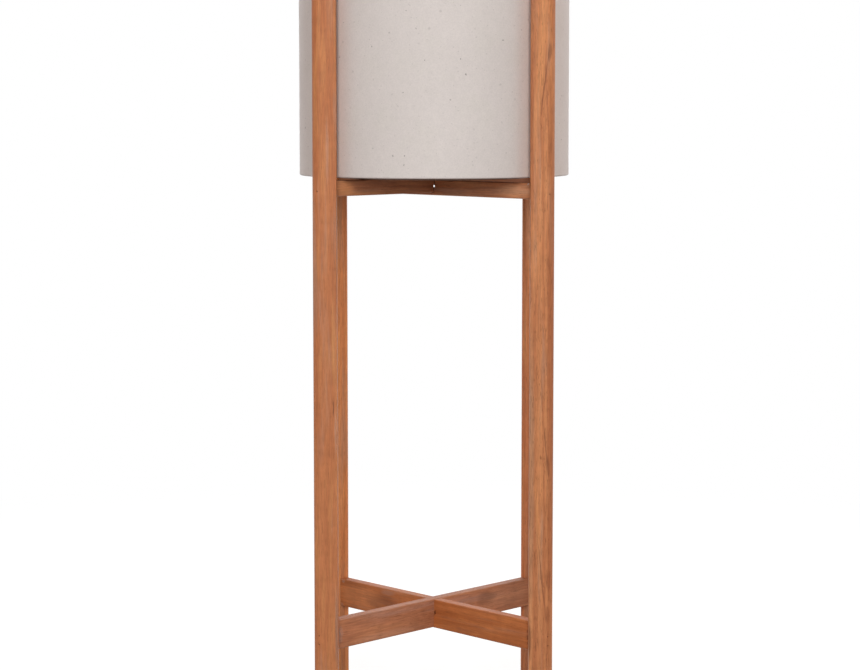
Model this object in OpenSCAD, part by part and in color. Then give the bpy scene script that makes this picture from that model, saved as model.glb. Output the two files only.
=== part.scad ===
// Planter with stand: a stoneware cylinder pot in a tall wooden stand. Two bars halved over
// each other make a cross low down, and two slimmer bars make the cross that the pot stands
// on. The four legs run on past the pot and hold it upright. Z is up, z = 0 is the floor,
// the front is towards -Y, and all sizes are in millimetres.

/* [Pot] */
// Outside diameter of the pot
pot_d = 300; // [240:1:360]
// Height of the pot
pot_h = 280; // [200:1:320]
// Thickness of the pot's side wall
pot_wall = 10; // [6:0.5:16]
// Thickness of the pot's floor above its foot ring
pot_floor = 11; // [6:0.5:20]
// Radius of the rounded edges of the rim
rim_round = 3; // [1:0.5:3]
// Radius of the outer bottom edge
base_round = 2; // [0.5:0.5:4]
// Radius inside the pot where wall and floor meet
inner_round = 9; // [2:0.5:16]
// Distance of the foot ring from the pot's outside
ring_in = 40; // [6:0.5:60]
// Width of the foot ring that the pot stands on
ring_w = 14; // [8:0.5:24]
// Height of the foot ring
ring_h = 2.5; // [1:0.5:4]
// Diameter of the drain hole
drain_d = 14; // [8:1:24]

/* [Legs] */
// Gap between the pot and the flats on the legs' inner corners
pot_gap = 1.6; // [0.6:0.1:6]
// Width of a leg, which is square
leg_w = 25.8; // [24:0.1:26]
// Height of the legs
leg_h = 840; // [780:1:870]
// Radius of each leg's outer corner
leg_round = 8; // [4:0.5:9]
// Radius that eases a leg's two side corners
leg_ease = 1.2; // [0.5:0.1:2]
// Size of the flat on a leg's inner corner, measured along each face
leg_flat = 8.6; // [8.5:0.1:10]

/* [Lower cross] */
// Height of the lower bars' underside above the floor
lower_z = 109.6; // [60:0.2:200]
// Depth of the lower bars
lower_h = 32.4; // [24:0.2:40]
// How far the lower let-in bar sits below the other one
lower_step = 0.6; // [0:0.1:2]
// Play on each side of the lower bars where they cross
lower_play = 0.3; // [0.1:0.1:1]

/* [Upper cross] */
// Height of the underside of the upper bar that carries the pot
upper_z = 602; // [500:1:640]
// Depth of the upper bars
upper_h = 17; // [16:0.5:28]
// How far the upper let-in bar sits below the other one
upper_step = 2.8; // [0:0.1:4]
// Play on each side of the upper bars where they cross
upper_play = 1.1; // [0.2:0.1:1.5]

/* [Bars] */
// Thickness of all four bars
bar_t = 12; // [10:0.5:12]
// Play between a bar's end and the leg
end_fit = 0.05; // [0.02:0.01:0.2]
// Play between the pot's foot ring and the bar that carries it
seat_fit = 0.3; // [0.1:0.1:0.5]

/* [Nails] */
// Diameter of a nail
nail_d = 2; // [1.6:0.1:2.4]
// Diameter of a nail's head
nail_head_d = 2.8; // [2.6:0.1:3.4]
// Thickness of a nail's head
nail_head_t = 1; // [0.8:0.1:1.6]
// Length of a nail below its head
nail_len = 42; // [36:1:50]
// Depth of the head below the rounded corner
nail_sink = 1.6; // [1.5:0.1:2.5]
// Distance of the nails from the leg's diagonal
nail_off = 3.2; // [1:0.1:3.4]
// Height of the lowest nail above a lower bar's underside
nail_low_z = 8.9; // [6:0.1:12]
// Distance between the two nails of a lower bar
nail_pitch = 9.8; // [8:0.2:14]
// Height of the nail above an upper bar's underside
nail_up_z = 6; // [4:0.5:12]
// Radial play of a nail in its hole
nail_fit = 0.05; // [0.02:0.01:0.1]

/* [Hidden] */
$fn = 96;

// Extra length that lets a cut run past the surface it opens
cut = 1;

// The corners, counted round from the back right, and the two bars' ends: the bars over
// cross on top, and the bars under are let in from above
CORNERS = ["back_right", "back_left", "front_left", "front_right"];
OVER = ["back_right", "front_left"];
UNDER = ["back_left", "front_right"];

pot_r = pot_d / 2;
pot_in_r = pot_r - pot_wall;
pot_z = upper_z + upper_h + seat_fit;
pot_floor_z = ring_h + pot_floor;
ring_r = pot_r - ring_in;

// Distance of the flat on a leg's inner corner from the middle of the stand
flat_r = pot_r + pot_gap;
// A leg's near and far face, measured from the middle of the stand
leg_near = (flat_r - leg_flat / sqrt(2)) / sqrt(2);
leg_far = leg_near + leg_w;
bar_len = 2 * (flat_r - end_fit);
// Distance of the sunk nail heads' outer face from the middle of the stand
head_r = sqrt(2) * (leg_far - leg_round) + leg_round - nail_sink;

// A corner's place in the count, whether it holds a bar that crosses on top, how far its
// bar is let down, and on which side of the diagonal its nails are: always nearer to the
// front or the back face of the leg
function quarter(corner) = [for (i = [0:len(CORNERS) - 1]) if (CORNERS[i] == corner) i][0];
function is_over(corner) = corner == OVER[0] || corner == OVER[1];
function drop(corner, step) = is_over(corner) ? 0 : step;
function nail_side(corner) = is_over(corner) ? nail_off : -nail_off;
function nail_heights(corner) = [
    lower_z - drop(corner, lower_step) + nail_low_z,
    lower_z - drop(corner, lower_step) + nail_low_z + nail_pitch,
    upper_z - drop(corner, upper_step) + nail_up_z
];

// Turns its children from the back right quarter to a corner's
module to_quarter(corner) {
    rotate([0, 0, 90 * quarter(corner)]) children();
}

// Turns its children from the X axis to a corner's diagonal
module to_corner(corner) {
    to_quarter(corner) rotate([0, 0, 45]) children();
}

// Places its children, drawn pointing up Z, at a nail's head and pointing outwards
module at_nail(corner, height) {
    to_corner(corner)
        translate([head_r - nail_head_t, nail_side(corner), height])
            rotate([0, 90, 0])
                children();
}

// One nail, its head's underside at z = 0
module nail_body() {
    cylinder(h = nail_head_t, d = nail_head_d);
    translate([0, 0, -nail_len]) cylinder(h = nail_len + nail_head_t / 2, d = nail_d);
}

// The hole for one nail: a bore for the shank and a wider one for the sunk head
module nail_hole() {
    cylinder(h = nail_head_t + nail_sink + leg_round, d = nail_head_d + 2 * nail_fit);
    translate([0, 0, -nail_len]) cylinder(h = nail_len + nail_head_t / 2, d = nail_d + 2 * nail_fit);
}

// The waste outside a corner rounded to radius r, with the round's centre at the origin
module waste(r) {
    difference() {
        square(r + cut);
        circle(r);
    }
}

// The section of a leg in the back right corner: a square with its outer corner rounded,
// its side corners eased and its inner corner cut to a flat that the bars meet
module leg_section() {
    difference() {
        translate([leg_near, leg_near]) square(leg_w);
        translate([leg_far - leg_round, leg_far - leg_round]) waste(leg_round);
        translate([leg_far - leg_ease, leg_near + leg_ease]) mirror([0, 1]) waste(leg_ease);
        translate([leg_near + leg_ease, leg_far - leg_ease]) mirror([1, 0]) waste(leg_ease);
        rotate(45) translate([0, -leg_w / 2]) square([flat_r, leg_w]);
    }
}

module leg(corner) {
    color("#b5764f")
        difference() {
            to_quarter(corner) linear_extrude(leg_h) leg_section();
            for (height = nail_heights(corner)) at_nail(corner, height) nail_hole();
        }
}

module leg_front_left() {
    leg("front_left");
}

module leg_front_right() {
    leg("front_right");
}

module leg_back_left() {
    leg("back_left");
}

module leg_back_right() {
    leg("back_right");
}

// One bar of a cross between two opposite corners. Half its depth is cut away in the
// middle, from below on a bar that crosses on top and from above on one that is let in.
module bar(ends, z, h, play) {
    notch_z = ends == OVER ? -cut : h / 2;
    color("#a4663f")
        difference() {
            to_corner(ends[0]) translate([0, 0, z])
                difference() {
                    translate([-bar_len / 2, -bar_t / 2, 0]) cube([bar_len, bar_t, h]);
                    translate([-bar_t / 2 - play, -bar_t / 2 - cut, notch_z])
                        cube([bar_t + 2 * play, bar_t + 2 * cut, h / 2 + cut]);
                }
            for (end = ends)
                for (height = nail_heights(end)) at_nail(end, height) nail_hole();
        }
}

module lower_bar_over() {
    bar(OVER, lower_z, lower_h, lower_play);
}

module lower_bar_under() {
    bar(UNDER, lower_z - lower_step, lower_h, lower_play);
}

module upper_bar_over() {
    bar(OVER, upper_z, upper_h, upper_play);
}

module upper_bar_under() {
    bar(UNDER, upper_z - upper_step, upper_h, upper_play);
}

// Three nails in each leg: two through it into the lower bar's end, one into the upper bar's
module nails() {
    color("#3d3029")
        for (corner = CORNERS)
            for (height = nail_heights(corner)) at_nail(corner, height) nail_body();
}

// Half of the solid block that the pot is hollowed from, with its foot ring
module pot_outline() {
    difference() {
        square([pot_r, pot_h]);
        translate([pot_r - base_round, ring_h + base_round]) mirror([0, 1]) waste(base_round);
        translate([pot_r - rim_round, pot_h - rim_round]) waste(rim_round);
        translate([pot_in_r + rim_round, pot_h - rim_round]) mirror([1, 0]) waste(rim_round);
        translate([ring_r, -cut]) square([ring_in + cut, ring_h + cut]);
        translate([0, -cut]) square([ring_r - ring_w, ring_h + cut]);
    }
}

// Half of the space inside the pot, with a rounded bottom corner
module pot_hollow() {
    difference() {
        translate([0, pot_floor_z]) square([pot_in_r, pot_h]);
        translate([pot_in_r - inner_round, pot_floor_z + inner_round])
            mirror([0, 1])
                waste(inner_round);
    }
}

module pot() {
    color("#d2c9c4")
        translate([0, 0, pot_z])
            rotate_extrude()
                difference() {
                    pot_outline();
                    pot_hollow();
                    translate([0, -cut]) square([drain_d / 2, pot_floor_z + 2 * cut]);
                }
}

pot();
leg_front_left();
leg_front_right();
leg_back_left();
leg_back_right();
lower_bar_over();
lower_bar_under();
upper_bar_over();
upper_bar_under();
nails();
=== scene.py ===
import math

import bmesh
import bpy
from bpy.props import FloatProperty, FloatVectorProperty, PointerProperty
from bpy.types import Operator, Panel, PropertyGroup
from mathutils import Matrix, Vector


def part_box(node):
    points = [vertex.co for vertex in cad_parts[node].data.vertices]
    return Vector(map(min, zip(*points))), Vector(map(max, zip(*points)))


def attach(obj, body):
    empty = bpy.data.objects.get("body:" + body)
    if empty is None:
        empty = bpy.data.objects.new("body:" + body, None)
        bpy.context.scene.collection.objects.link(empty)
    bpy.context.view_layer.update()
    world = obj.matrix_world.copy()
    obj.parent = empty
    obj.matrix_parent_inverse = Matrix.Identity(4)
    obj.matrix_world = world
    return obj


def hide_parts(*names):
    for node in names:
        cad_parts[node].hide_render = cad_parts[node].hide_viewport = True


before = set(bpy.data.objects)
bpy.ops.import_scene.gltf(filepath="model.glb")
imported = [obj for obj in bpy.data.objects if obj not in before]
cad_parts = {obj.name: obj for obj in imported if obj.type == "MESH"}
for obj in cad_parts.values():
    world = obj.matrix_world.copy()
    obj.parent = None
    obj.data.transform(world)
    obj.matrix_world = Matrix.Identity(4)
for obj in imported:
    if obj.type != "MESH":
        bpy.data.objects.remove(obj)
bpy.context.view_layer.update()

bl_info = {
    "name": "Planter with stand",
    "version": (1, 0, 0),
    "blender": (4, 5, 0),
    "location": "3D View > Sidebar > Planter",
    "description": "Dresses a stoneware pot and its tall wooden stand",
    "category": "Object",
}

MM = 0.001
ROOT2 = math.sqrt(2)

# The least radius of a corner, and the radius below which a corner is an arris that sanding
# rubs pale
LEAST_ROUND = 0.05 * MM
ARRIS_ROUND = 3 * MM

# The corners of the stand, counted round from the back right, and those that a cross's bar
# over joins: it crosses on top, and the bar under is let in from above
CORNERS = ("back_right", "back_left", "front_left", "front_right")
OVER = ("back_right", "front_left")

# The nodes that the materials use most
MATH = "ShaderNodeMath"
VECTOR = "ShaderNodeVectorMath"
NOISE = "ShaderNodeTexNoise"
RANGE = "ShaderNodeMapRange"
MAPPING = "ShaderNodeMapping"
MIX = "ShaderNodeMix"
SPLIT = "ShaderNodeSeparateXYZ"

# Settings that many nodes share, and the sockets of a Mix node that mixes colours
TIMES = {"operation": "MULTIPLY"}
MINUS = {"operation": "SUBTRACT"}
EASED = {"interpolation_type": "SMOOTHSTEP"}
COLOURS = {"data_type": "RGBA", "out": 2}
A, B = 6, 7


def linear(code):
    """An sRGB hex colour as the linear colour that the shaders take."""
    parts = [int(code[i:i + 2], 16) / 255 for i in (1, 3, 5)]
    return [c / 12.92 if c <= 0.04045 else ((c + 0.055) / 1.055) ** 2.4 for c in parts]


WHITE = [*linear("#FFFFFF"), 1]
HALF = (0.5, 0.5, 0.5)


def length(name, description, default, **settings):
    """A size in metres."""
    return FloatProperty(name=name, description=description, default=default, min=0,
                         unit="LENGTH", precision=5, **settings)


def colour(name, description, code):
    """A colour that is picked in the panel."""
    return FloatVectorProperty(name=name, description=description, default=linear(code),
                               subtype="COLOR", min=0, max=1)


class PotSettings(PropertyGroup):
    """Sizes and colours of the pot. Its outside comes from the frame."""
    wall: length("Wall", "Thickness of the side wall", 10 * MM)
    floor: length("Floor", "Thickness of the pot's floor above its foot ring", 11 * MM)
    rim: length("Rim", "Radius of the rounded edges of the rim", 3 * MM)
    base: length("Base", "Radius of the outer bottom edge", 2 * MM)
    inner: length("Inner corner", "Radius inside where wall and floor meet", 9 * MM)
    ring_in: length("Ring inset", "Distance of the foot ring from the outside", 40 * MM)
    ring_width: length("Ring width", "Width of the foot ring", 14 * MM)
    ring_height: length("Ring height", "Height of the foot ring", 2.5 * MM)
    drain: length("Drain", "Radius of the drain hole", 7 * MM)
    drift: length("Drift", "How far the cast wall strays inwards from a true round", 0.35 * MM)
    glaze: colour("Glaze", "Colour of the glaze", "#D3CAC5")
    ash: colour("Ash", "Colour of the greyer clouds in the glaze", "#CFC9BF")
    spot: colour("Spots", "Colour of the iron spots in the glaze", "#6E655F")
    clay: colour("Clay", "Colour of the raw clay under the pot", "#7B6150")


class StandSettings(PropertyGroup):
    """Sizes of the stand and colours of its wear. Where its pieces are comes from the frame."""
    leg_round: length("Outer corner", "Radius of each leg's outer corner", 8 * MM)
    leg_flat: length("Inner flat", "Size of the inner corner's flat along each face", 8.6 * MM)
    arris: length("Arris", "Radius of the sanded arrises", 1.2 * MM)
    end_ease: length("End easing", "Rounding of the legs' ends", 1.2 * MM)
    bar_thick: length("Bar thickness", "Thickness of all four bars", 12 * MM)
    lower_play: length("Lower play", "Play on each side where the lower bars cross", 0.3 * MM)
    upper_play: length("Upper play", "Play on each side where the upper bars cross", 1.1 * MM)
    nail_thick: length("Head thickness", "Thickness of the nail heads", 1 * MM)
    nail_sink: length("Nail sink", "Depth of the heads below the wood", 1.6 * MM)
    nail_pit: length("Nail pit", "Radius of the hole that the nail set leaves", 0.85 * MM)
    nail_off: length("Nail offset", "Distance of the nails from the leg's diagonal", 3.2 * MM)
    nail_low: length("Low nail", "Height of the first nail above a lower bar's underside",
                     8.9 * MM)
    nail_pitch: length("Nail pitch", "Distance between a lower bar's two nails", 9.8 * MM)
    nail_up: length("Upper nail", "Height of the nail above an upper bar's underside", 6 * MM)
    rubbed: colour("Rubbed", "Colour of the arrises that sanding has rubbed", "#C49C82")
    steel: colour("Steel", "Colour of the nails", "#6B4A38")
    rust: colour("Rust", "Colour of the nails' rust", "#8E5C3C")


class StudioSettings(PropertyGroup):
    """The camera, the light from all round and the white paper."""
    lens: FloatProperty(name="Lens", description="Focal length in millimetres", default=93.55,
                        unit="CAMERA")
    eye: FloatVectorProperty(name="Eye", description="Place of the camera",
                             subtype="TRANSLATION", unit="LENGTH",
                             default=(0.0149, -2.4991, 0.7011))
    pitch: FloatProperty(name="Pitch", description="Angle of the view below the horizon",
                         subtype="ANGLE", default=math.radians(5.262))
    turn: FloatProperty(name="Turn", description="Angle of the view to the left of straight on",
                        subtype="ANGLE", default=math.radians(0.447))
    rise: FloatProperty(name="Rise", description="Vertical shift of the lens", default=-0.03)
    ambient: FloatProperty(name="Ambient", description="Strength of the light from all round",
                           default=0.215, min=0)
    aim: length("Aim", "Height of the point that the lamps point at", 0.5)
    sweep: length("Sweep", "Half the width of the paper on the floor", 8.0)
    near: length("Near", "Distance from the middle at which the paper starts to burn out", 0.7)
    far: length("Far", "Distance from the middle at which the paper is all white", 1.6)
    glow: FloatProperty(name="Glow", description="Light that the paper adds where it is seen",
                        default=0.78, min=0)


def add(tree, kind, inputs=None, out=0, **settings):
    """Adds a node with its settings, sets or links its inputs, and gives one of its outputs."""
    made = tree.nodes.new(kind)
    for name, value in settings.items():
        setattr(made, name, value)
    for key, value in (inputs or {}).items():
        if isinstance(value, bpy.types.NodeSocket):
            tree.links.new(value, made.inputs[key])
        else:
            made.inputs[key].default_value = value
    return made.outputs[out] if made.outputs else made


def new_material(name):
    """An empty material and its node tree."""
    made = bpy.data.materials.new(name)
    made.use_nodes = True
    made.node_tree.nodes.clear()
    return made, made.node_tree


def rounded(corners, inset=0.0, steps=6):
    """The outline through corners, each (place, radius), drawn in by inset.

    The corners run anticlockwise, so that a positive inset draws inwards. Gives (x, y, wear)
    for each point, with wear 1 in the middle of an arris.
    """
    out = []
    count = len(corners)
    for i, (here, radius) in enumerate(corners):
        here = Vector(here)
        d1 = (here - Vector(corners[i - 1][0])).normalized()
        d2 = (Vector(corners[(i + 1) % count][0]) - here).normalized()
        n1 = Vector((-d1.y, d1.x))
        n2 = Vector((-d2.y, d2.x))
        here = here + (n1 + n2) / (1 + n1.dot(n2)) * inset
        turn = math.atan2(d1.cross(d2), d1.dot(d2))
        side = math.copysign(1, turn)
        radius = max(radius - side * inset, LEAST_ROUND)
        centre = here - d1 * radius * math.tan(abs(turn) / 2) + n1 * side * radius
        for k in range(steps + 1):
            spoke = Matrix.Rotation(turn * k / steps, 2) @ (n1 * side)
            worn = math.sin(math.pi * k / steps) if radius < ARRIS_ROUND else 0.0
            out.append((*(centre - spoke * radius), worn))
    return out


def skin(name, rings, wear, closed=False):
    """A mesh object whose skin runs from ring to ring, with flat ends unless it is closed."""
    shape = bmesh.new()
    worn = shape.verts.layers.float.new("wear")
    rows = []
    for ring, marks in zip(rings, wear):
        row = []
        for place, mark in zip(ring, marks):
            vert = shape.verts.new(place)
            vert[worn] = mark
            row.append(vert)
        rows.append(row)
    count = len(rows[0])
    pairs = list(zip(rows, rows[1:])) + ([(rows[-1], rows[0])] if closed else [])
    for a, b in pairs:
        for i in range(count):
            j = (i + 1) % count
            shape.faces.new((a[i], a[j], b[j], b[i]))
    if not closed:
        shape.faces.new(reversed(rows[0]))
        shape.faces.new(rows[-1])
    bmesh.ops.recalc_face_normals(shape, faces=shape.faces)
    mesh = bpy.data.meshes.new(name)
    shape.to_mesh(mesh)
    shape.free()
    made = bpy.data.objects.new(name, mesh)
    bpy.context.scene.collection.objects.link(made)
    return made


def smooth(piece, angle=math.radians(32)):
    """Smooth shading that keeps the sharp edges and the flat faces flat."""
    shape = bmesh.new()
    shape.from_mesh(piece.data)
    for face in shape.faces:
        face.smooth = True
    for edge in shape.edges:
        edge.smooth = len(edge.link_faces) == 2 and edge.calc_face_angle(0) < angle
    shape.to_mesh(piece.data)
    shape.free()
    weighted = piece.modifiers.new("Flat faces", "WEIGHTED_NORMAL")
    weighted.keep_sharp = True


def cut_away(piece, cutters):
    """Cuts the cutters' shapes out of the piece and deletes them."""
    for cutter in cutters:
        cut = piece.modifiers.new("Cut", "BOOLEAN")
        cut.operation = "DIFFERENCE"
        cut.solver = "EXACT"
        cut.object = cutter
    graph = bpy.context.evaluated_depsgraph_get()
    result = bpy.data.meshes.new_from_object(piece.evaluated_get(graph))
    result.name = piece.name
    piece.modifiers.clear()
    old = piece.data
    piece.data = result
    bpy.data.meshes.remove(old)
    for cutter in cutters:
        bpy.data.objects.remove(cutter)


def plug(radius, start, end, sides=32):
    """A round cutter between two points."""
    axis = end - start
    turned = axis.to_track_quat("Z", "Y")
    rings = []
    for z in (0, axis.length):
        ring = []
        for k in range(sides):
            angle = 2 * math.pi * k / sides
            spoke = Vector((radius * math.cos(angle), radius * math.sin(angle), z))
            ring.append(start + turned @ spoke)
        rings.append(ring)
    return skin("plug", rings, [[0] * sides] * 2)


def block(low, high):
    """A square cutter between two corners."""
    rings = []
    for z in (low[2], high[2]):
        rings.append([(low[0], low[1], z), (high[0], low[1], z),
                      (high[0], high[1], z), (low[0], high[1], z)])
    return skin("block", rings, [[0] * 4] * 2)


def timber(name, corners, bottom, top, ease, steps=4):
    """A length of wood along its own Z, with arrises and ends eased by sanding."""
    rings, wear = [], []
    for end, way in ((bottom, 1), (top, -1)):
        levels = range(steps + 1) if way == 1 else range(steps, -1, -1)
        for k in levels:
            angle = math.pi / 2 * k / steps
            outline = rounded(corners, inset=ease * (1 - math.sin(angle)))
            z = end + way * ease * (1 - math.cos(angle))
            worn = math.sin(2 * angle)
            rings.append([(x, y, z) for x, y, _ in outline])
            wear.append([max(mark, worn) for _, _, mark in outline])
    return skin(name, rings, wear)


# The patterns in the wood: each one's size across and along the grain in mm, and its detail.
# Real bundles of fibres are 0.3 mm across and pores 0.2 mm. They are drawn 1.6 mm and 0.9 mm
# across, so that they show.
GRAIN = {
    "stray": (34, 260, 2.5),   # the bends in the growth rings
    "patch": (20, 120, 3.0),   # darker heartwood
    "gold": (8, 90, 2.0),      # golden streaks
    "bloom": (9, 130, 2.0),    # greyish streaks where the oil dried on the surface
    "fibre": (1.6, 20, 3.5),
    "pore": (0.9, 7, 1.0),
    "ripple": (14, 8, 1.5),    # curl across the grain
    "rub": (6, 40, 2.0),       # where the arrises were rubbed
    "edge": (4, 18, 2.0),      # the frayed edges of the marks
}

# How far the growth rings bend and how far a mark's edge is frayed, in mm, and how the tree's
# own axis leans against the piece's, in radians
BEND = 9
FRAY = (2.4, 2.4, 8)
HEART_LEAN = (0.007, 0.005, 0)


def oiled_acacia(name, light, dark, gold, bloom, rubbed, pith, ring, bands, figure, fibres,
                 pores, rub, seed, marks):
    """Acacia, sawn and sanded, then oiled.

    The eye sees an orange brown ground with wavy darker growth bands, golden and greyish
    streaks, fine fibres and short dark pores along the length, and paler arrises where it
    was sanded. The grain runs along the piece's own Z, pith is where the heart of the tree
    would be in its section, and ring is how far apart its growth rings are. Bands, figure,
    fibres, pores and rub say how strong each pattern is, and seed moves them all. Marks are
    streaks, flecks, knots, a drying check, and some painted shade, light and highlights, in
    known places, each a soft ellipsoid. All sizes are in millimetres.
    """
    made, tree = new_material(name)
    sight = add(tree, "ShaderNodeTexCoord").node.outputs
    place = sight["Object"]
    moved = add(tree, VECTOR, {0: place, 1: (seed, seed, seed)}, operation="ADD")
    noise = {}
    for key, (across, along, detail) in GRAIN.items():
        size = (1 / (across * MM), 1 / (across * MM), 1 / (along * MM))
        spread = add(tree, VECTOR, {0: moved, 1: size}, **TIMES)
        noise[key] = add(tree, NOISE, {"Vector": spread, "Scale": 1.0, "Detail": detail,
                                       "Roughness": 0.55}).node.outputs

    # The growth rings: the distance from the pith, which strays along the length
    stray = add(tree, VECTOR, {0: noise["stray"]["Color"], 1: HALF}, **MINUS)
    swing = BEND * figure * MM
    stray = add(tree, VECTOR, {0: stray, 1: (swing, swing, 0)}, **TIMES)
    heart = add(tree, MAPPING, {"Vector": place, "Location": (pith[0] * MM, pith[1] * MM, 0),
                                "Rotation": HEART_LEAN}, vector_type="TEXTURE")
    heart = add(tree, VECTOR, {0: heart, 1: stray}, operation="ADD")
    heart = add(tree, VECTOR, {0: heart, 1: (1, 1, 0)}, **TIMES)
    radius = add(tree, VECTOR, {0: heart}, out="Value", operation="LENGTH")
    radius = add(tree, MATH, {0: radius, 1: 1 / (ring * MM)}, **TIMES)
    rings = add(tree, NOISE, {"W": radius, "Scale": 1.0, "Detail": 2.0, "Roughness": 0.5},
                noise_dimensions="1D")

    # The ground and what is laid over it: a pattern, where in its range it starts and is
    # full, the most that it covers, and its colour
    tone = light
    for value, low, high, most, over in (
            (rings, 0.32, 0.68, bands, dark),
            (noise["patch"][0], 0.32, 0.68, 0.40, dark),
            (noise["gold"][0], 0.48, 0.70, 0.55, gold),
            (noise["bloom"][0], 0.50, 0.72, 0.50, bloom)):
        share = add(tree, RANGE, {"Value": value, "From Min": low, "From Max": high,
                                  "To Min": 0.0, "To Max": most}, **EASED)
        tone = add(tree, MIX, {0: share, A: tone, B: over}, **COLOURS)

    # The marks' edges are frayed along the grain
    frayed = add(tree, VECTOR, {0: noise["edge"]["Color"], 1: HALF}, **MINUS)
    frayed = add(tree, VECTOR, {0: frayed, 1: [v * MM for v in FRAY]}, **TIMES)
    frayed = add(tree, VECTOR, {0: place, 1: frayed}, operation="ADD")
    for code, centre, lean, half_width, half_length, most in marks:
        local = add(tree, MAPPING, {
            "Vector": frayed, "Location": [v * MM for v in centre],
            "Rotation": [math.radians(v) for v in (*lean, 0)],
            "Scale": (half_width * MM, half_width * MM, half_length * MM),
        }, vector_type="TEXTURE")
        reach = add(tree, VECTOR, {0: local}, out="Value", operation="LENGTH")
        share = add(tree, RANGE, {"Value": reach, "From Min": 0.35, "From Max": 1.0,
                                  "To Min": most, "To Max": 0.0}, **EASED)
        tone = add(tree, MIX, {0: share, A: tone, B: [*linear(code), 1]}, **COLOURS)

    # Sanded arrises are rubbed paler in places
    worn = add(tree, "ShaderNodeAttribute", out="Fac", attribute_name="wear")
    where = add(tree, RANGE, {"Value": noise["rub"][0], "From Min": 0.30, "From Max": 0.62,
                              "To Min": 0.0, "To Max": rub}, **EASED)
    worn = add(tree, MATH, {0: worn, 1: where}, **TIMES)
    tone = add(tree, MIX, {0: worn, A: tone, B: rubbed}, **COLOURS)

    # Fibres, ripple, pores and the darker end grain shade that colour: a pattern, the part of
    # its range that counts, and the shade at both ends of that part
    facing = add(tree, SPLIT, {0: sight["Normal"]}, out=2)
    facing = add(tree, MATH, {0: facing}, operation="ABSOLUTE")
    shade = 1.0
    for value, low, high, to_low, to_high in (
            (noise["fibre"][0], 0.32, 0.68, 1.0 - 0.10 * fibres, 1.0 + 0.09 * fibres),
            (noise["ripple"][0], 0.30, 0.70, 0.97, 1.03),
            (noise["pore"][0], 0.60, 0.72, 1.0, 1.0 - 0.32 * pores),
            (facing, 0.75, 0.95, 1.0, 0.66)):
        share = add(tree, RANGE, {"Value": value, "From Min": low, "From Max": high,
                                  "To Min": to_low, "To Max": to_high}, **EASED)
        shade = add(tree, MATH, {0: share, 1: shade}, **TIMES)
    tone = add(tree, VECTOR, {0: tone, "Scale": shade}, operation="SCALE")
    bump = add(tree, "ShaderNodeBump", {"Height": shade, "Strength": 0.5,
                                        "Distance": 0.5 * MM})
    # Oil soaked into the wood: a dull sheen, rougher from fibre to fibre. The oil's IOR is
    # 1.47, and the open pores take most of its reflection away.
    gloss = add(tree, RANGE, {"Value": noise["fibre"][0], "From Min": 0.3, "From Max": 0.7,
                              "To Min": 0.46, "To Max": 0.60}, **EASED)
    shader = add(tree, "ShaderNodeBsdfPrincipled",
                 {"Base Color": tone, "Roughness": gloss, "IOR": 1.47,
                  "Specular IOR Level": 0.2, "Normal": bump})
    add(tree, "ShaderNodeOutputMaterial", {"Surface": shader})
    return made


# The unevenness of the glaze, which is clouds, orange peel and grain: the size of each in mm,
# its detail, and the darkest and the lightest that it makes the colour. Real grain is about
# 0.5 mm across, and is drawn three times as wide, so that it shows.
UNEVEN = (
    (70, 2.0, 0.987, 1.010),
    (7, 3.0, 0.985, 1.012),
    (1.6, 3.0, 0.964, 1.030),
)

# The iron spots in the glaze, faint and fine ones, soft ones under it and dark ones that broke
# through: the room that each has in the clay, its radius, both in mm, the share of them that
# show, and how dark they are. They fade towards that radius, so they look about two thirds as
# wide. Real spots have a radius of 0.2 to 0.7 mm, and these look up to twice that, so that
# they show.
SPOTS = (
    (4.6, 0.80, 0.85, 0.27),
    (10.0, 1.70, 0.80, 0.22),
    (13.0, 1.15, 0.80, 0.80),
)


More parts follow.
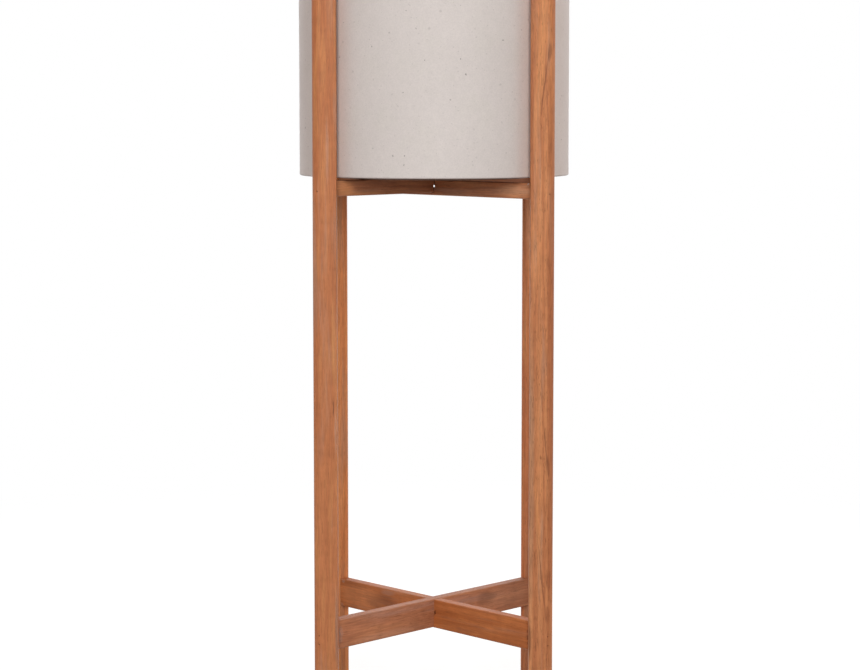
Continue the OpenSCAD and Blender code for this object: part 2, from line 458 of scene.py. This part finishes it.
def speckled_stoneware(name, glaze, ash, spot, clay, foot):
    """Stoneware, slip cast and dipped in a satin glaze.

    The eye sees a warm pale grey, faintly clouded and with a soft sheen at the edges, in
    which iron in the clay has bled through as sparse dark spots and small pits. The foot is
    wiped free of glaze, up to a height of foot, and shows the raw clay.
    """
    made, tree = new_material(name)
    place = add(tree, "ShaderNodeTexCoord", out="Object")

    level = 1.0
    for size, detail, low, high in UNEVEN:
        cloud = add(tree, NOISE, {"Vector": place, "Scale": 1 / (size * MM), "Detail": detail})
        share = add(tree, RANGE, {"Value": cloud, "From Min": 0.3, "From Max": 0.7,
                                  "To Min": low, "To Max": high}, **EASED)
        level = add(tree, MATH, {0: share, 1: level}, **TIMES)
    # Greyer clouds are about 26 mm across
    drift = add(tree, NOISE, {"Vector": place, "Scale": 1 / (26 * MM), "Detail": 3.0})
    drift = add(tree, RANGE, {"Value": drift, "From Min": 0.45, "From Max": 0.70,
                              "To Min": 0.0, "To Max": 0.20}, **EASED)
    tone = add(tree, MIX, {0: drift, A: [*glaze, 1], B: [*ash, 1]}, **COLOURS)
    tone = add(tree, VECTOR, {0: tone, "Scale": level}, operation="SCALE")

    # The iron spots, ragged by up to 1.3 mm where they bled, and the pits that they leave
    ragged = add(tree, NOISE, {"Vector": place, "Scale": 1 / (1.8 * MM)}, out=1)
    ragged = add(tree, VECTOR, {0: ragged, 1: HALF}, **MINUS)
    ragged = add(tree, VECTOR, {0: ragged, "Scale": 2.6 * MM}, operation="SCALE")
    ragged = add(tree, VECTOR, {0: place, 1: ragged}, operation="ADD")
    pits = 0.0
    for room, radius, keep, most in SPOTS:
        near = add(tree, "ShaderNodeTexVoronoi", {"Vector": ragged, "Scale": 1 / (room * MM)})
        near = near.node.outputs
        dice = add(tree, "ShaderNodeSeparateColor", {0: near["Color"]}).node.outputs
        kept = add(tree, MATH, {0: dice[0], 1: keep}, operation="LESS_THAN")
        size = add(tree, RANGE, {"Value": dice[1], "To Min": 0.5, "To Max": 1.2})
        reach = add(tree, MATH, {0: near["Distance"], 1: size}, operation="DIVIDE")
        core = add(tree, RANGE, {"Value": reach, "From Min": 0.3 * radius / room,
                                 "From Max": radius / room, "To Min": most, "To Max": 0.0},
                   **EASED)
        core = add(tree, MATH, {0: core, 1: kept}, **TIMES)
        tone = add(tree, MIX, {0: core, A: tone, B: [*spot, 1]}, **COLOURS)
        pits = add(tree, MATH, {0: core, 1: pits}, operation="ADD")

    # The glaze ends in an edge 0.6 mm wide
    height = add(tree, SPLIT, {0: place}, out=2)
    bare = add(tree, RANGE, {"Value": height, "From Min": foot - 0.3 * MM,
                             "From Max": foot + 0.3 * MM, "To Min": 1.0, "To Max": 0.0})
    tone = add(tree, MIX, {0: bare, A: tone, B: [*clay, 1]}, **COLOURS)
    # The bumps of the orange peel are about 3.5 mm across
    peel = add(tree, NOISE, {"Vector": place, "Scale": 1 / (3.5 * MM), "Detail": 2.0})
    relief = add(tree, MATH, {0: peel, 1: pits}, **MINUS)
    bump = add(tree, "ShaderNodeBump", {"Height": relief, "Strength": 0.15,
                                        "Distance": 0.4 * MM})
    # Satin glaze: glass with an IOR of 1.5, which fine crystals make dull, a little more and
    # less every 24 mm. They also scatter some light towards the outline, which is the sheen.
    sheen = add(tree, NOISE, {"Vector": place, "Scale": 1 / (24 * MM)})
    gloss = add(tree, RANGE, {"Value": sheen, "From Min": 0.3, "From Max": 0.7,
                              "To Min": 0.58, "To Max": 0.66}, **EASED)
    shader = add(tree, "ShaderNodeBsdfPrincipled",
                 {"Base Color": tone, "Roughness": gloss, "IOR": 1.5, "Sheen Weight": 0.4,
                  "Sheen Roughness": 0.3, "Normal": bump})
    add(tree, "ShaderNodeOutputMaterial", {"Surface": shader})
    return made


def rusted_steel(name, steel, rust):
    """Mild steel wire with a pressed head, rusted in the wood.

    The eye sees small dull brown spots at the bottom of the nail holes. Mostly rust shows,
    which is no metal, so the share of metal is low.
    """
    made, tree = new_material(name)
    place = add(tree, "ShaderNodeTexCoord", out="Object")
    # Flakes of rust are about 0.6 mm across
    scale = add(tree, NOISE, {"Vector": place, "Scale": 1 / (0.6 * MM), "Detail": 3.0})
    share = add(tree, RANGE, {"Value": scale, "From Min": 0.35, "From Max": 0.65}, **EASED)
    tone = add(tree, MIX, {0: share, A: [*steel, 1], B: [*rust, 1]}, **COLOURS)
    bump = add(tree, "ShaderNodeBump", {"Height": scale, "Strength": 0.3,
                                        "Distance": 0.1 * MM})
    shader = add(tree, "ShaderNodeBsdfPrincipled",
                 {"Base Color": tone, "Metallic": 0.2, "Roughness": 0.7, "Normal": bump})
    add(tree, "ShaderNodeOutputMaterial", {"Surface": shader})
    return made


# The pot's mesh: how many sides it has, how far apart its rings are at most, and the radius
# of its small edges
POT_SIDES = 256
POT_BAY = 12 * MM
LIP = 0.8 * MM


class PLANTER_OT_pot(Operator):
    """Make the glazed pot"""
    bl_idname = "planter.pot"
    bl_label = "Pot"

    def execute(self, context):
        pot = context.scene.planter_pot
        low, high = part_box("pot")
        radius = high.x
        height = high.z - low.z
        wall = radius - pot.wall
        ring = radius - pot.ring_in
        bed = pot.ring_height + pot.floor
        corners = [
            ((pot.drain, pot.ring_height), LIP),
            ((ring - pot.ring_width, pot.ring_height), LIP),
            ((ring - pot.ring_width, 0), LIP),
            ((ring, 0), LIP),
            ((ring, pot.ring_height), LIP),
            ((radius, pot.ring_height), pot.base),
            ((radius, height), pot.rim),
            ((wall, height), pot.rim),
            ((wall, bed), pot.inner),
            ((pot.drain, bed), LIP),
        ]
        outline = rounded(corners, steps=8)
        profile = []
        for i, (r, z, _) in enumerate(outline):
            profile.append((r, z))
            r2, z2, _ = outline[(i + 1) % len(outline)]
            bays = int(math.hypot(r2 - r, z2 - z) / POT_BAY)
            for k in range(1, bays + 1):
                t = k / (bays + 1)
                profile.append((r + (r2 - r) * t, z + (z2 - z) * t))
        rings = []
        for k in range(POT_SIDES):
            angle = 2 * math.pi * k / POT_SIDES
            ring_points = []
            for r, z in profile:
                # Slow waves round and up the wall, between -2.1 and 2.1. They only take away
                # from the true round, and fade out in the lowest 20 mm.
                wave = (math.sin(2 * angle + 0.8) + 0.6 * math.sin(3 * angle + 9 * z)
                        + 0.5 * math.sin(40 * z + angle))
                stray = pot.drift * (0.5 + wave / 4.2) * min(1, z / (20 * MM))
                r = r - stray * (r / radius)
                ring_points.append((r * math.cos(angle), r * math.sin(angle), low.z + z))
            rings.append(ring_points)
        wear = [[0] * len(profile)] * POT_SIDES
        piece = skin("stoneware_pot", rings, wear, closed=True)
        smooth(piece)
        piece.data.materials.append(
            speckled_stoneware("Slip cast stoneware, satin glazed", pot.glaze, pot.ash,
                               pot.spot, pot.clay, low.z + pot.ring_height + 0.5 * MM))
        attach(piece, "pot")
        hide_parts("pot")
        return {"FINISHED"}


# What each piece of wood looks like. The pith and the marks are given in the piece's own
# axes, in mm. A mark is its colour, centre, lean in degrees, half width, half length and how
# strong it is; some marks are painted shade and painted light, as said at each. A bar's
# marks beyond 145 mm are where it meets the leg: paler grey patches at its end, a dark joint,
# and on the upper bar under a painted highlight on the top corner of its end.
WOODS = {
    "front_left": dict(
        light="#C17A4F", dark="#A55F3B", gold="#CA8755", bloom="#B6886F", pith=(190, 320),
        ring=5.0, bands=0.35, figure=0.7, fibres=1.0, pores=0.4, rub=0.10, seed=1.3, marks=(
            ("#D48E58", (116.5, 128.7, 745), (0, 0), 3.6, 50, 0.4),
            ("#BC8D76", (112.6, 128.7, 650), (0, 0), 2.6, 46, 0.5),
            ("#D79660", (107.0, 128.7, 455), (0, 0), 2.4, 60, 0.4),
            ("#BF9077", (104.6, 128.7, 350), (0, 0), 1.8, 34, 0.55),
            ("#5A3A2A", (107.0, 128.7, 376), (0, 1), 0.9, 13, 0.75),
            ("#8D7264", (104.0, 128.7, 136), (0, 0), 2.6, 56, 0.55),
        )),
    "front_right": dict(
        light="#CB8657", dark="#A35E3C", gold="#D99463", bloom="#B58D74", pith=(104, 30),
        ring=5.4, bands=0.45, figure=1.5, fibres=1.25, pores=0.9, rub=0.04, seed=4.1, marks=(
            ("#DC9660", (128.7, 114.5, 760), (-3, 0), 5.5, 110, 0.45),
            ("#D8905A", (128.7, 112.5, 240), (3, 0), 3.0, 90, 0.45),
            ("#A3603C", (128.7, 103.5, 650), (0, 0), 3.6, 230, 0.50),
            ("#A08067", (128.7, 104.5, 310), (0, 0), 5.0, 210, 0.40),
            # Painted shade: darker along the rounded outer corner, where it turns away from the
            # lamps
            ("#A15F3C", (127.0, 126.5, 450), (0, 0), 7.0, 470, 0.60),
            ("#7E4C33", (128.7, 123.0, 755), (-6, 0), 3.2, 14, 0.55),
            ("#7A4A30", (128.7, 117.4, 720), (-7.3, 0), 1.1, 42, 0.60),
            ("#8A5234", (128.7, 115.6, 705), (-5, 0), 0.9, 22, 0.45),
            ("#8A5234", (128.7, 124.0, 655), (-3, 0), 3.6, 32, 0.50),
            ("#7E4C33", (128.7, 123.0, 531), (5, 0), 2.4, 12, 0.40),
            ("#7E4C33", (128.7, 116.0, 390), (1.5, 0), 0.9, 36, 0.50),
            ("#7A4A30", (128.7, 120.6, 334), (6, 0), 1.4, 32, 0.60),
            ("#7E4C33", (128.7, 123.0, 313), (6, 0), 3.0, 13, 0.50),
            ("#6A3C26", (128.7, 115.0, 324), (0, 0), 1.3, 3, 0.50),
            ("#7E4C33", (128.7, 116.5, 192), (5.9, 0), 1.2, 56, 0.55),
            ("#8A4E32", (128.7, 124.0, 190), (4, 0), 3.6, 16, 0.50),
            ("#8A4E32", (128.7, 123.4, 152), (4, 0), 4.4, 13, 0.45),
            # Painted shadow: a dark line down the inner edge beside the lower bar's joint,
            # where the gap is in shade
            ("#5E3A28", (128.7, 103.4, 124), (0, 0), 2.4, 28, 0.65),
        )),
    # Painted light in part: the back legs are coloured lighter than the front ones, to make up
    # for light that the pot and the front legs keep from them
    "back_left": dict(
        light="#E39259", dark="#B66D43", gold="#E69A5E", bloom="#BC8C6C", pith=(150, -40),
        ring=4.5, bands=0.5, figure=1.0, fibres=1.2, pores=0.7, rub=0.10, seed=7.7, marks=(
            ("#8E6048", (103, 107, 60), (0, 0), 8.0, 130, 0.40),
        )),
    # Painted light in part: coloured lighter, like the back left leg, for the light that the
    # pot and the front legs keep from it
    "back_right": dict(
        light="#D6895A", dark="#AD613E", gold="#DC9560", bloom="#BC8C6C", pith=(-20, 170),
        ring=4.2, bands=0.5, figure=1.0, fibres=1.2, pores=0.8, rub=0.10, seed=9.2, marks=(
            # Painted light: a pale patch high on the leg, under the pot, where the pot's shade
            # falls
            ("#F6B284", (108, 103, 580), (0, 0), 8.0, 80, 0.85),
            ("#8E6048", (108, 103, 90), (0, 0), 8.0, 190, 0.40),
        )),
    "lower_over": dict(
        light="#B67755", dark="#8E5639", gold="#C2825A", bloom="#A67E6E", pith=(-60, 40),
        ring=4.2, bands=0.3, figure=1.2, fibres=1.2, pores=0.6, rub=0.22, seed=12.4, marks=(
            ("#6A432E", (20, 6, 80), (0, 0), 11, 22, 0.50),
            ("#B27C64", (27, 6, 36), (0, 0), 5, 22, 0.35),
            ("#C88F6E", (18, 6, 116), (0, 0), 17, 44, 0.25),
            ("#C9906F", (4, 6, -80), (0, 0), 6, 64, 0.50),
            ("#A88A7C", (15, 6, -149), (0, 0), 14, 4, 0.30),
            ("#776E6B", (16, 6, -151.5), (0, 0), 18, 1.3, 0.50),
        )),
    "lower_under": dict(
        light="#BC7040", dark="#955128", gold="#C67A46", bloom="#A6745A", pith=(70, 30),
        ring=4.0, bands=0.3, figure=1.2, fibres=1.0, pores=0.6, rub=0.22, seed=15.9, marks=(
            ("#F09E68", (16, -6, 114), (0, 0), 19, 50, 0.42),
            ("#6A3C25", (14, -6, 79), (0, 0), 17, 36, 0.52),
            ("#B5846C", (28, -6, 70), (0, 0), 4, 16, 0.45),
            ("#A98C7C", (30, -6, 146), (0, 0), 3, 4, 0.40),
            ("#A08A7E", (2, -6, 149), (0, 0), 3, 3, 0.30),
            ("#3E2417", (18, -6, -6.8), (0, 0), 4, 1.6, 0.85),
            ("#4A2C1E", (16, -6, -151.5), (0, 0), 18, 1.3, 0.60),
        )),
    "upper_over": dict(
        light="#B87955", dark="#905639", gold="#BE8359", bloom="#9C7863", pith=(-50, -35),
        ring=3.6, bands=0.35, figure=1.2, fibres=1.2, pores=0.6, rub=0.20, seed=18.2, marks=(
            # Painted light: a brighter end, where light reaches in under the pot's edge
            ("#D8935F", (8, 6, -140), (0, 0), 10, 17, 0.45),
        )),
    "upper_under": dict(
        light="#C58159", dark="#9C5D3B", gold="#CD8D61", bloom="#AC8672", pith=(45, -60),
        ring=3.6, bands=0.35, figure=1.2, fibres=1.2, pores=0.6, rub=0.20, seed=21.6, marks=(
            # Painted light: a paler end, where light reaches in under the pot's edge
            ("#E0A47C", (8, -6, -128), (0, 0), 9, 34, 0.50),
            # Painted highlight on the top corner of the bar's end
            ("#C4B6AE", (16, -6, -149), (0, 0), 1.6, 1.8, 0.80),
            ("#5A3A2C", (8, -6, -152), (0, 0), 10, 1.1, 0.50),
        )),
}


def wood(key):
    """The material of one piece of wood."""
    look = dict(WOODS[key], rubbed=[*bpy.context.scene.planter_stand.rubbed, 1])
    for name in ("light", "dark", "gold", "bloom"):
        look[name] = [*linear(look[name]), 1]
    return oiled_acacia("Sanded and oiled acacia, " + key.replace("_", " "), **look)


def nail_heights(corner):
    """The heights of a corner's three nails."""
    stand = bpy.context.scene.planter_stand
    kind = "over" if corner in OVER else "under"
    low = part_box(f"lower_bar_{kind}")[0].z + stand.nail_low
    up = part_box(f"upper_bar_{kind}")[0].z + stand.nail_up
    return low, low + stand.nail_pitch, up


class PLANTER_OT_legs(Operator):
    """Make the four legs with their sunk nail holes"""
    bl_idname = "planter.legs"
    bl_label = "Legs"

    def execute(self, context):
        stand = context.scene.planter_stand
        low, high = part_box("leg_back_right")
        near, far = low.x, high.x
        flat = near + stand.leg_flat
        corners = [
            ((far, far), stand.leg_round),
            ((near, far), stand.arris),
            ((near, flat), stand.arris / 2),
            ((flat, near), stand.arris / 2),
            ((far, near), stand.arris),
        ]
        head = ROOT2 * (far - stand.leg_round) + stand.leg_round - stand.nail_sink
        for quarter, corner in enumerate(CORNERS):
            piece = timber(f"{corner}_leg", corners, low.z, high.z, stand.end_ease)
            diagonal = Vector((1, 1, 0)).normalized()
            side = Vector((-1, 1, 0)).normalized()
            side *= stand.nail_off if corner in OVER else -stand.nail_off
            cutters = []
            for height in nail_heights(corner):
                foot = diagonal * (head - stand.nail_thick) + side + Vector((0, 0, height))
                tip = foot + diagonal * 2 * stand.leg_round
                cutters.append(plug(stand.nail_pit, foot, tip))
            cut_away(piece, cutters)
            smooth(piece)
            piece.rotation_euler.z = math.pi / 2 * quarter
            piece.data.materials.append(wood(corner))
            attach(piece, "stand")
            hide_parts(f"leg_{corner}")
        return {"FINISHED"}


def bar(name, level, kind, play):
    """One bar of a cross, along its own Z, with X up and the notch for the other bar."""
    stand = bpy.context.scene.planter_stand
    node = f"{level}_bar_{kind}"
    low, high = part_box(node)
    thick = stand.bar_thick
    half = ROOT2 * high.x - thick / 2
    depth = high.z - low.z
    corners = [
        ((depth, thick / 2), stand.arris),
        ((0, thick / 2), stand.arris),
        ((0, -thick / 2), stand.arris),
        ((depth, -thick / 2), stand.arris),
    ]
    piece = timber(name, corners, -half, half, stand.arris / 4)
    gap = thick / 2 + play
    from_x, to_x = (-thick, depth / 2) if kind == "over" else (depth / 2, depth + thick)
    cut_away(piece, [block((from_x, -thick, -gap), (to_x, thick, gap))])
    smooth(piece)
    way = Vector((1, 1, 0)) if kind == "over" else Vector((-1, 1, 0))
    way.normalize()
    up = Vector((0, 0, 1))
    across = way.cross(up)
    turned = Matrix((up, across, way)).transposed().to_4x4()
    piece.matrix_world = Matrix.Translation((0, 0, low.z)) @ turned
    piece.data.materials.append(wood(f"{level}_{kind}"))
    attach(piece, "stand")
    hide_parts(node)


class PLANTER_OT_lower_cross(Operator):
    """Make the two deep bars that tie the legs together low down"""
    bl_idname = "planter.lower_cross"
    bl_label = "Lower cross"

    def execute(self, context):
        play = context.scene.planter_stand.lower_play
        bar("lower_cross_over", "lower", "over", play)
        bar("lower_cross_under", "lower", "under", play)
        return {"FINISHED"}


class PLANTER_OT_upper_cross(Operator):
    """Make the two slim bars that the pot stands on"""
    bl_idname = "planter.upper_cross"
    bl_label = "Upper cross"

    def execute(self, context):
        play = context.scene.planter_stand.upper_play
        bar("upper_cross_over", "upper", "over", play)
        bar("upper_cross_under", "upper", "under", play)
        return {"FINISHED"}


class PLANTER_OT_nails(Operator):
    """Rust the nails, which keep their solids"""
    bl_idname = "planter.nails"
    bl_label = "Nails"

    def execute(self, context):
        stand = context.scene.planter_stand
        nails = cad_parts["nails"]
        nails.data.materials.clear()
        nails.data.materials.append(
            rusted_steel("Headed steel wire, rusted", stand.steel, stand.rust))
        return {"FINISHED"}


def to_the_eye(tree):
    """1 where the camera sees the surface, straight or by reflection or through glass."""
    path = add(tree, "ShaderNodeLightPath").node.outputs
    seen = add(tree, MATH, {0: path["Is Camera Ray"], 1: path["Is Glossy Ray"]},
               operation="MAXIMUM")
    return add(tree, MATH, {0: seen, 1: path["Is Transmission Ray"]}, operation="MAXIMUM")


def paper_sweep(name, near, far, glow):
    """White background paper, matt.

    The eye sees plain white with the object's soft shadow near its feet. Further out the
    paper is burnt out to the white of the background. Its own colour is a grey, so that it
    throws little light up at the object, and glow makes up for that to the eye.
    """
    made, tree = new_material(name)
    place = add(tree, "ShaderNodeTexCoord", out="Object")
    reach = add(tree, VECTOR, {0: place}, out="Value", operation="LENGTH")
    away = add(tree, RANGE, {"Value": reach, "From Min": near, "From Max": far}, **EASED)
    seen = to_the_eye(tree)
    burnt = add(tree, MATH, {0: away, 1: seen}, **TIMES)
    # Felt marks in the paper are about 2 mm across
    fibre = add(tree, NOISE, {"Vector": place, "Scale": 1 / (2 * MM)})
    bump = add(tree, "ShaderNodeBump", {"Height": fibre, "Strength": 0.05,
                                        "Distance": 0.1 * MM})
    paper = add(tree, "ShaderNodeBsdfDiffuse", {"Color": [*linear("#A0A0A0"), 1],
                                                "Normal": bump})
    lift = add(tree, MATH, {0: seen, 1: glow}, **TIMES)
    lift = add(tree, "ShaderNodeEmission", {"Color": WHITE, "Strength": lift})
    lit = add(tree, "ShaderNodeAddShader", {0: paper, 1: lift})
    white = add(tree, "ShaderNodeEmission", {"Color": WHITE, "Strength": 1.0})
    both = add(tree, "ShaderNodeMixShader", {0: burnt, 1: lit, 2: white})
    add(tree, "ShaderNodeOutputMaterial", {"Surface": both})
    return made


# The lamps: name, place, width and height in metres, power in watts, and the colour of their
# light. All point at the stand's middle. Two narrow keys beside the camera light the fronts,
# the lamps at the sides rim the pot and the legs, and the others soften the shade.
LAMPS = (
    ("key left", (-0.40, -2.7, 1.5), 0.35, 1.3, 26.5, "#FFFFFF"),
    ("key right", (0.42, -2.7, 1.5), 0.35, 1.3, 26.5, "#FFFFFF"),
    ("fill left", (-2.2, -1.3, 1.1), 1.2, 1.6, 1.5, "#FFFFFF"),
    ("fill right", (2.2, -1.3, 1.1), 1.2, 1.6, 2.2, "#FFFFFF"),
    ("top", (0, 0, 3.2), 1.8, 1.8, 15, "#FFFFFF"),
    ("rear", (0, 3.0, 2.4), 1.8, 1.8, 34, "#FFFFFF"),
    ("left", (-2.9, 0.9, 1.3), 1.2, 1.8, 15, "#FFDDCE"),
    ("right", (2.9, 0.9, 1.3), 1.2, 1.8, 29.5, "#FFE7DC"),
)


class PLANTER_OT_studio(Operator):
    """Make the camera, the lamps, the white surroundings and the floor"""
    bl_idname = "planter.studio"
    bl_label = "Studio"

    def execute(self, context):
        scene = context.scene
        studio = scene.planter_studio

        lens = bpy.data.cameras.new("camera")
        lens.lens = studio.lens
        lens.shift_y = studio.rise
        camera = bpy.data.objects.new("camera", lens)
        camera.location = studio.eye
        camera.rotation_euler = (math.pi / 2 - studio.pitch, 0, studio.turn)
        scene.collection.objects.link(camera)
        scene.camera = camera

        for name, place, width, height, power, code in LAMPS:
            light = bpy.data.lights.new(name, "AREA")
            light.shape = "RECTANGLE"
            light.size = width
            light.size_y = height
            light.energy = power
            light.color = linear(code)
            lamp = bpy.data.objects.new(name, light)
            lamp.location = place
            way = Vector((0, 0, studio.aim)) - Vector(place)
            lamp.rotation_euler = way.to_track_quat("-Z", "Y").to_euler()
            scene.collection.objects.link(lamp)

        world = bpy.data.worlds.new("White surroundings")
        world.use_nodes = True
        tree = world.node_tree
        tree.nodes.clear()
        dim = add(tree, "ShaderNodeBackground", {"Color": [*linear("#FFFAF7"), 1],
                                                 "Strength": studio.ambient})
        white = add(tree, "ShaderNodeBackground", {"Color": WHITE, "Strength": 1.0})
        both = add(tree, "ShaderNodeMixShader", {0: to_the_eye(tree), 1: dim, 2: white})
        add(tree, "ShaderNodeOutputWorld", {"Surface": both})
        scene.world = world
        scene.view_settings.view_transform = "Standard"

        reach = studio.sweep
        mesh = bpy.data.meshes.new("floor")
        mesh.from_pydata([(-reach, -reach, 0), (reach, -reach, 0), (reach, reach, 0),
                          (-reach, reach, 0)], [], [(0, 1, 2, 3)])
        floor = bpy.data.objects.new("floor", mesh)
        floor.data.materials.append(
            paper_sweep("Background paper, matt white", studio.near, studio.far, studio.glow))
        scene.collection.objects.link(floor)
        return {"FINISHED"}


class PLANTER_PT_panel(Panel):
    """The buttons and sizes of the planter"""
    bl_idname = "PLANTER_PT_panel"
    bl_label = "Planter with stand"
    bl_space_type = "VIEW_3D"
    bl_region_type = "UI"
    bl_category = "Planter"

    def draw(self, context):
        column = self.layout.column()
        for operator in OPERATORS:
            column.operator(operator.bl_idname)
        for settings in (context.scene.planter_pot, context.scene.planter_stand,
                         context.scene.planter_studio):
            box = self.layout.box()
            for name in settings.__annotations__:
                box.prop(settings, name)


SETTINGS = {
    "planter_pot": PotSettings,
    "planter_stand": StandSettings,
    "planter_studio": StudioSettings,
}
OPERATORS = (PLANTER_OT_studio, PLANTER_OT_legs, PLANTER_OT_lower_cross,
             PLANTER_OT_upper_cross, PLANTER_OT_nails, PLANTER_OT_pot)


def register():
    for kind in (*SETTINGS.values(), *OPERATORS, PLANTER_PT_panel):
        bpy.utils.register_class(kind)
    for name, kind in SETTINGS.items():
        setattr(bpy.types.Scene, name, PointerProperty(type=kind))


def unregister():
    for name in SETTINGS:
        delattr(bpy.types.Scene, name)
    for kind in reversed((*SETTINGS.values(), *OPERATORS, PLANTER_PT_panel)):
        bpy.utils.unregister_class(kind)


def main():
    register()
    bpy.ops.planter.studio()
    bpy.ops.planter.legs()
    bpy.ops.planter.lower_cross()
    bpy.ops.planter.upper_cross()
    bpy.ops.planter.nails()
    bpy.ops.planter.pot()


if __name__ == "__main__":
    main()
